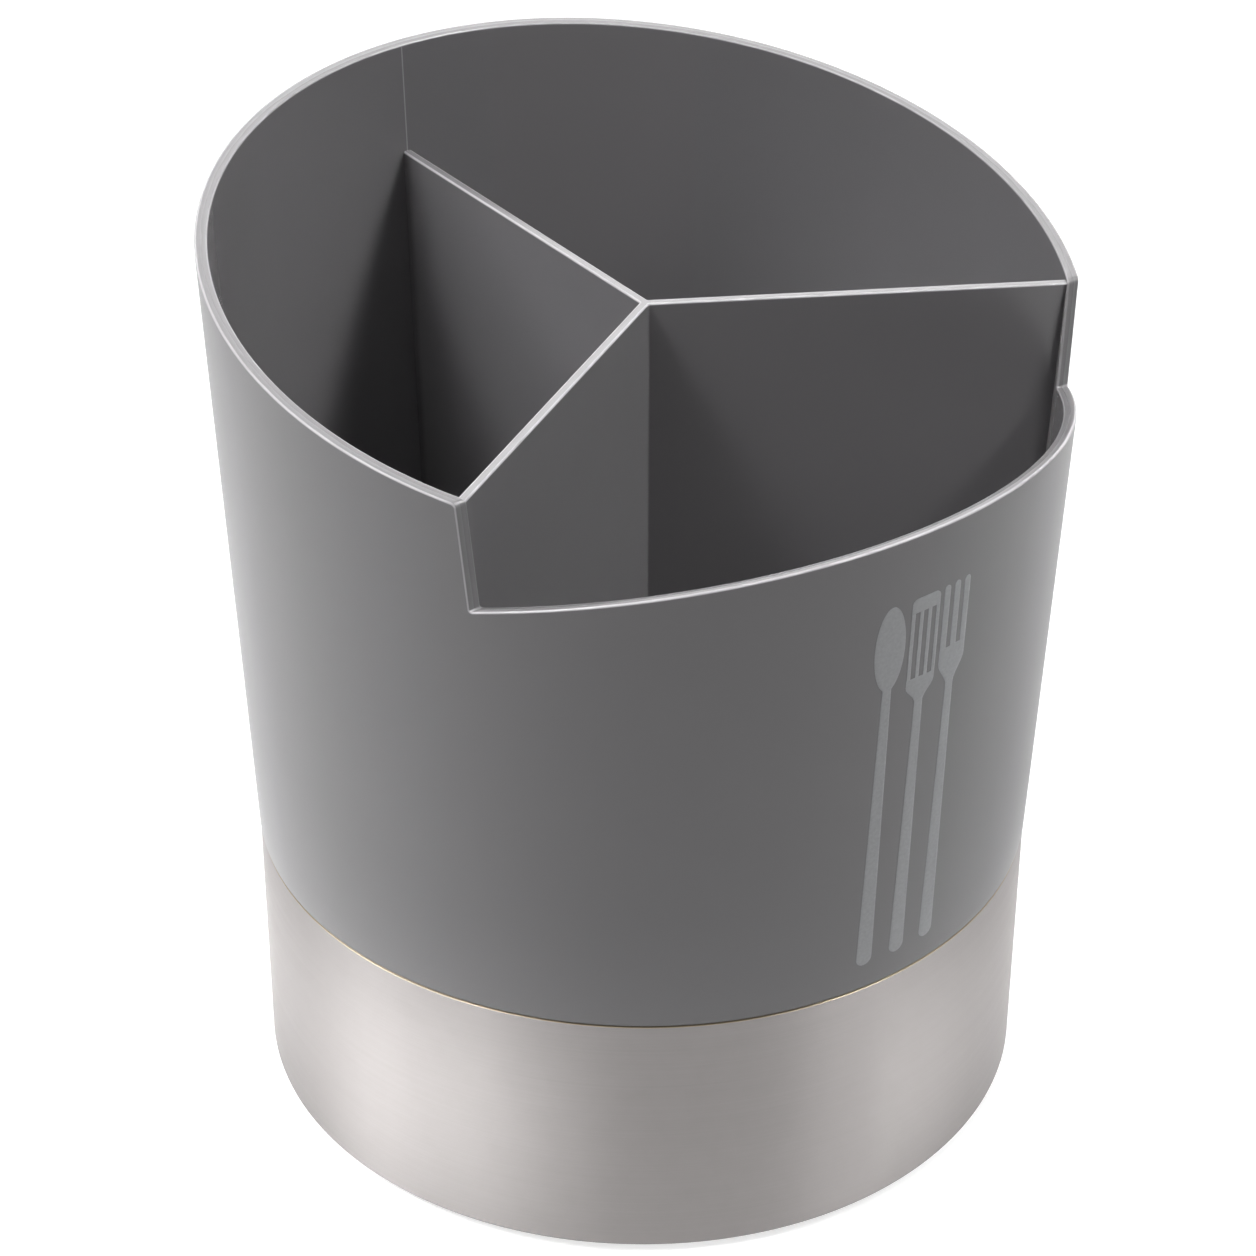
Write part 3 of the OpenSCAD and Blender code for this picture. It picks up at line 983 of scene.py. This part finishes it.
def make_disc():
    """The soft disc: a rounded puck with shallow rings moulded into its underside."""
    radius = DISC_HIGH[0]
    thick = DISC_HIGH[2]
    edge = DISC_EDGE_R
    profile = []
    for ring_r in DISC_RINGS:
        slopes = (ring_r + RING_DEPTH, ring_r + RING_W - RING_DEPTH)
        profile += [[ring_r, 0], *([r, RING_DEPTH] for r in slopes), [ring_r + RING_W, 0]]
    profile += arc_points((radius - edge, edge), edge, -90, 0, EDGE_STEPS)
    profile += arc_points((radius - edge, thick - edge), edge, 0, 90, DISC_TOP_STEPS)
    profile += [[radius / 2, thick]]
    grid = revolve_columns(profile, full_turn(DISC_COLUMNS))
    surface = Surface()
    surface.grid(grid, wrap=True)
    surface.fan(grid[0], (0, 0, 0))
    surface.fan(grid[-1], (0, 0, thick))
    return surface.finish("soft_disc", RUBBER, ["non_slip_disc"])


# Printed utensils
def film(surface, v, left, right, place):
    """A strip of ink on the wall between two edges that are functions of the height v.

    Each row runs straight from left to right in millimetres round the wall. A second grid under the
    wall's surface closes the strip, and its sides join the two.
    """
    share = np.linspace(0, 1, FILM_COLUMNS)
    u = left[:, None] + (right - left)[:, None] * share + place
    z = PRINT_LOW_Z + np.broadcast_to(v[:, None], u.shape)

    def at(offset):
        """The strip's points at that distance outside the wall."""
        r = wall_r(z)
        return polar(r + offset, -math.pi / 2 + u / r, z)

    top = at(PRINT_FILM)
    low = at(-PRINT_FILM)
    surface.grid(top)
    surface.grid(low)
    for edge_top, edge_low in (
        (top[0], low[0]), (top[-1], low[-1]), (top[:, 0], low[:, 0]), (top[:, -1], low[:, -1])
    ):
        surface.grid(np.stack([edge_top, edge_low]))


def handle_width(v, top):
    """Half width of a handle: a round foot, then a slow taper from the foot to the neck."""
    foot = HANDLE_FOOT_R
    taper = foot - HANDLE_TAPER * np.clip(v / top, 0, 1)
    end = np.sqrt(np.clip(foot**2 - (foot - np.clip(v, 0, foot)) ** 2, 0, None))
    return np.minimum(taper, end)


def eased_step(v, low, high):
    """From 0 at low to 1 at high, by the cubic 3 t^2 - 2 t^3."""
    t = np.clip((v - low) / (high - low), 0, 1)
    return t * t * (3 - 2 * t)


def even_rows(low, high, count):
    """Heights that crowd towards both ends, where outlines are round."""
    return low + (high - low) * (1 - np.cos(np.linspace(0, math.pi, count))) / 2


def print_spoon(surface, place):
    """A spoon: the handle, and an oval bowl whose half width is that of an ellipse."""
    bowl_low = PRINT_H - SPOON_BOWL
    v = even_rows(0, PRINT_H, SPOON_ROWS)
    t = np.clip((v - bowl_low) / (PRINT_H - bowl_low) * 2 - 1, -1, 1)
    bowl = HEAD_HALF * np.sqrt(1 - t * t) * (v > bowl_low)
    handle = handle_width(v, bowl_low) * (v < bowl_low + SPOON_NECK)
    half = np.maximum(bowl, handle)
    film(surface, v, -half, half, place)


def print_handle(surface, place, top, shoulder_low, ease):
    """A handle up to the height top that widens to the head from shoulder_low on, over ease."""
    v = even_rows(0, top, HANDLE_ROWS)
    half = handle_width(v, shoulder_low)
    half = half + (HEAD_HALF - half) * eased_step(v, shoulder_low, shoulder_low + ease)
    film(surface, v, -half, half, place)


def print_turner(surface, place):
    """A slotted turner: the handle, sloping shoulders, and bars between three slots."""
    slot_low, slot_high = PRINT_H - TURNER_SLOT_LOW, PRINT_H - TURNER_SLOT_HIGH
    print_handle(surface, place, slot_low, PRINT_H - TURNER_SHOULDER, TURNER_SHOULDER_EASE)
    bar = (2 * HEAD_HALF - TURNER_SLOTS * TURNER_SLOT_W) / (TURNER_SLOTS + 1)
    v = np.linspace(slot_low, slot_high, BAR_ROWS)
    for i in range(TURNER_SLOTS + 1):
        left = np.full(len(v), -HEAD_HALF + i * (bar + TURNER_SLOT_W))
        film(surface, v, left, left + bar, place)
    v = slot_high + (PRINT_H - slot_high) * np.sin(np.linspace(0, math.pi / 2, BLADE_ROWS))
    corner = TURNER_CORNER_R
    past = np.clip(v - (PRINT_H - corner), 0, corner)
    half = HEAD_HALF - corner + np.sqrt(corner**2 - past**2)
    film(surface, v, -half, half, place)


def print_fork(surface, place):
    """A fork: the handle, a rounded palm, and three tines with round tips."""
    tine_low = PRINT_H - FORK_TINE
    print_handle(surface, place, tine_low, PRINT_H - FORK_PALM, FORK_PALM_EASE)
    tine_r = FORK_TINE_W / 2
    gap = (2 * HEAD_HALF - FORK_TINES * FORK_TINE_W) / (FORK_TINES - 1)
    v = tine_low + (PRINT_H - tine_low) * np.sin(np.linspace(0, math.pi / 2, TINE_ROWS))
    past = np.clip(v - (PRINT_H - tine_r), 0, tine_r)
    half = np.sqrt(tine_r**2 - past**2)
    for i in range(FORK_TINES):
        middle = -HEAD_HALF + tine_r + i * (FORK_TINE_W + gap)
        film(surface, v, middle - half, middle + half, place)


def make_print():
    """The printed spoon, turner and fork on the front of the wall."""
    for i, (name, draw) in enumerate(PRINTS):
        surface = Surface()
        draw(surface, PRINT_MIDDLE_X + (i - 1) * PRINT_PITCH)
        surface.finish(f"printed_{name}", INK)


PRINTS = (("spoon", print_spoon), ("turner", print_turner), ("fork", print_fork))

make_moulding()
make_dividers()
make_bosses()
make_band()
make_disc()
make_print()
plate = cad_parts["base_plate"]
plate.data.materials.clear()
plate.data.materials.append(PLATE_PLASTIC)


# Camera
def make_camera():
    """A camera that stands out and up from the holder, dips to it, and is turned round the axis.

    In the photograph's own axes it looks along +Y. Its right and down directions come from the swing
    and the roll, and all of it is then turned about the holder's axis.
    """
    dip, roll, swing = (math.radians(a) for a in (CAMERA_DIP, CAMERA_ROLL, CAMERA_SWING))
    ahead = np.array([math.sin(swing) * math.cos(dip), math.cos(swing) * math.cos(dip), -math.sin(dip)])
    level = np.array([math.cos(swing), -math.sin(swing), 0])
    down = np.cross(ahead, level)
    right = level * math.cos(roll) + down * math.sin(roll)
    up = level * math.sin(roll) - down * math.cos(roll)
    data = bpy.data.cameras.new("camera")
    data.lens = CAMERA_LENS
    data.sensor_width = CAMERA_SENSOR
    data.clip_start = CAMERA_NEAR
    camera = bpy.data.objects.new("camera", data)
    place = Matrix.Identity(4)
    for column, axis in enumerate((right, up, -ahead)):
        for row in range(3):
            place[row][column] = axis[row]
    place[1][3] = -CAMERA_OUT * MM
    place[2][3] = CAMERA_UP * MM
    camera.matrix_world = Matrix.Rotation(math.radians(-CAMERA_TURN), 4, "Z") @ place
    bpy.context.scene.collection.objects.link(camera)
    bpy.context.scene.camera = camera


# Light and background
def photo_way(azimuth, elevation):
    """A direction away from the holder. Azimuth 0 is towards the camera and 90 to its right."""
    turn = math.radians(azimuth - 90 - CAMERA_TURN)
    rise = math.radians(elevation)
    return np.array([math.cos(turn) * math.cos(rise), math.sin(turn) * math.cos(rise), math.sin(rise)])


def make_lamp(name, aim, azimuth, elevation, distance, width, height, beam, power):
    """A soft rectangular lamp that faces its aim, with its beam angle in degrees."""
    data = bpy.data.lights.new(name, "AREA")
    data.shape = "RECTANGLE"
    data.size = width
    data.size_y = height
    data.spread = math.radians(beam)
    data.energy = power
    lamp = bpy.data.objects.new(name, data)
    way = photo_way(azimuth, elevation)
    target = photo_way(aim[0], 0) * aim[1] + np.array([0, 0, aim[2]])
    lamp.location = Vector(target + way * distance)
    lamp.rotation_mode = "QUATERNION"
    lamp.rotation_quaternion = Vector(way).to_track_quat("Z", "Y")
    bpy.context.scene.collection.objects.link(lamp)


def seen_level(owner, hidden, seen):
    """The level seen by the camera, in gloss and through glass, and the hidden level for other rays."""
    path = add_node(owner, "ShaderNodeLightPath")
    total = path.outputs["Is Camera Ray"]
    for ray in ("Is Glossy Ray", "Is Transmission Ray"):
        either = add_node(owner, "ShaderNodeMath", operation="MAXIMUM")
        link(owner, total, either.inputs[0])
        link(owner, path.outputs[ray], either.inputs[1])
        total = either.outputs[0]
    return between(owner, total, hidden, seen)


def make_world():
    """White for what the camera, gloss and glass see, and dark for all other rays."""
    world = bpy.data.worlds.new("white_studio")
    bpy.context.scene.world = world
    world.use_nodes = True
    background = world.node_tree.nodes["Background"]
    background.inputs["Color"].default_value = (1, 1, 1, 1)
    link(world, seen_level(world, WORLD_LEVEL, WORLD_GLOSS), background.inputs["Strength"])


def make_band_lamps(profile):
    """A row of lamps from the first azimuth of the profile to the last."""
    azimuths, powers = np.array(profile).T
    size = (BAND_LAMP_W, BAND_LAMP_H, BAND_LAMP_BEAM)
    for azimuth in np.arange(azimuths[0], azimuths[-1] + BAND_LAMP_STEP / 2, BAND_LAMP_STEP):
        power = np.interp(azimuth, azimuths, powers) * MILLIWATT
        name = f"band_lamp_{azimuth % 360:.0f}"
        make_lamp(name, BAND_AIM, azimuth, 0, BAND_LAMP_DISTANCE, *size, power)


def make_floor():
    """A pale floor that keeps the soft shadow of the holder and is white where no shadow falls.

    Its glow is seen by the camera, in gloss and through glass only, and grows with the distance
    from the holder, where the lamps fade.
    """
    half = FLOOR_HALF
    corners = [(-half, -half, 0), (half, -half, 0), (half, half, 0), (-half, half, 0)]
    mesh = bpy.data.meshes.new("floor")
    mesh.from_pydata(corners, [], [(0, 1, 2, 3)])
    floor = bpy.data.objects.new("floor", mesh)
    bpy.context.scene.collection.objects.link(floor)
    material, shader = new_material("pale_floor")
    shader.inputs["Base Color"].default_value = FLOOR_COLOUR
    shader.inputs["Roughness"].default_value = FLOOR_ROUGHNESS
    shader.inputs["Specular IOR Level"].default_value = FLOOR_SPECULAR
    shader.inputs["Emission Color"].default_value = (1, 1, 1, 1)
    coordinates = add_node(material, "ShaderNodeTexCoord")
    distance = add_node(material, "ShaderNodeVectorMath", operation="LENGTH")
    link(material, coordinates.outputs["Object"], distance.inputs[0])
    far_glow = between(material, distance.outputs["Value"], FLOOR_GLOW, FLOOR_FAR_GLOW)
    far_glow.node.inputs["From Min"].default_value = FLOOR_GLOW_START
    far_glow.node.inputs["From Max"].default_value = FLOOR_GLOW_END
    glow = seen_level(material, 0, FLOOR_GLOW)
    link(material, far_glow, glow.node.inputs["To Max"])
    link(material, glow, shader.inputs["Emission Strength"])
    mesh.materials.append(material)


make_camera()
make_world()
make_floor()
for lamp in LAMPS:
    make_lamp(*lamp)
for row in BAND_LAMPS:
    make_band_lamps(row)
bpy.context.scene.view_settings.view_transform = "Standard"
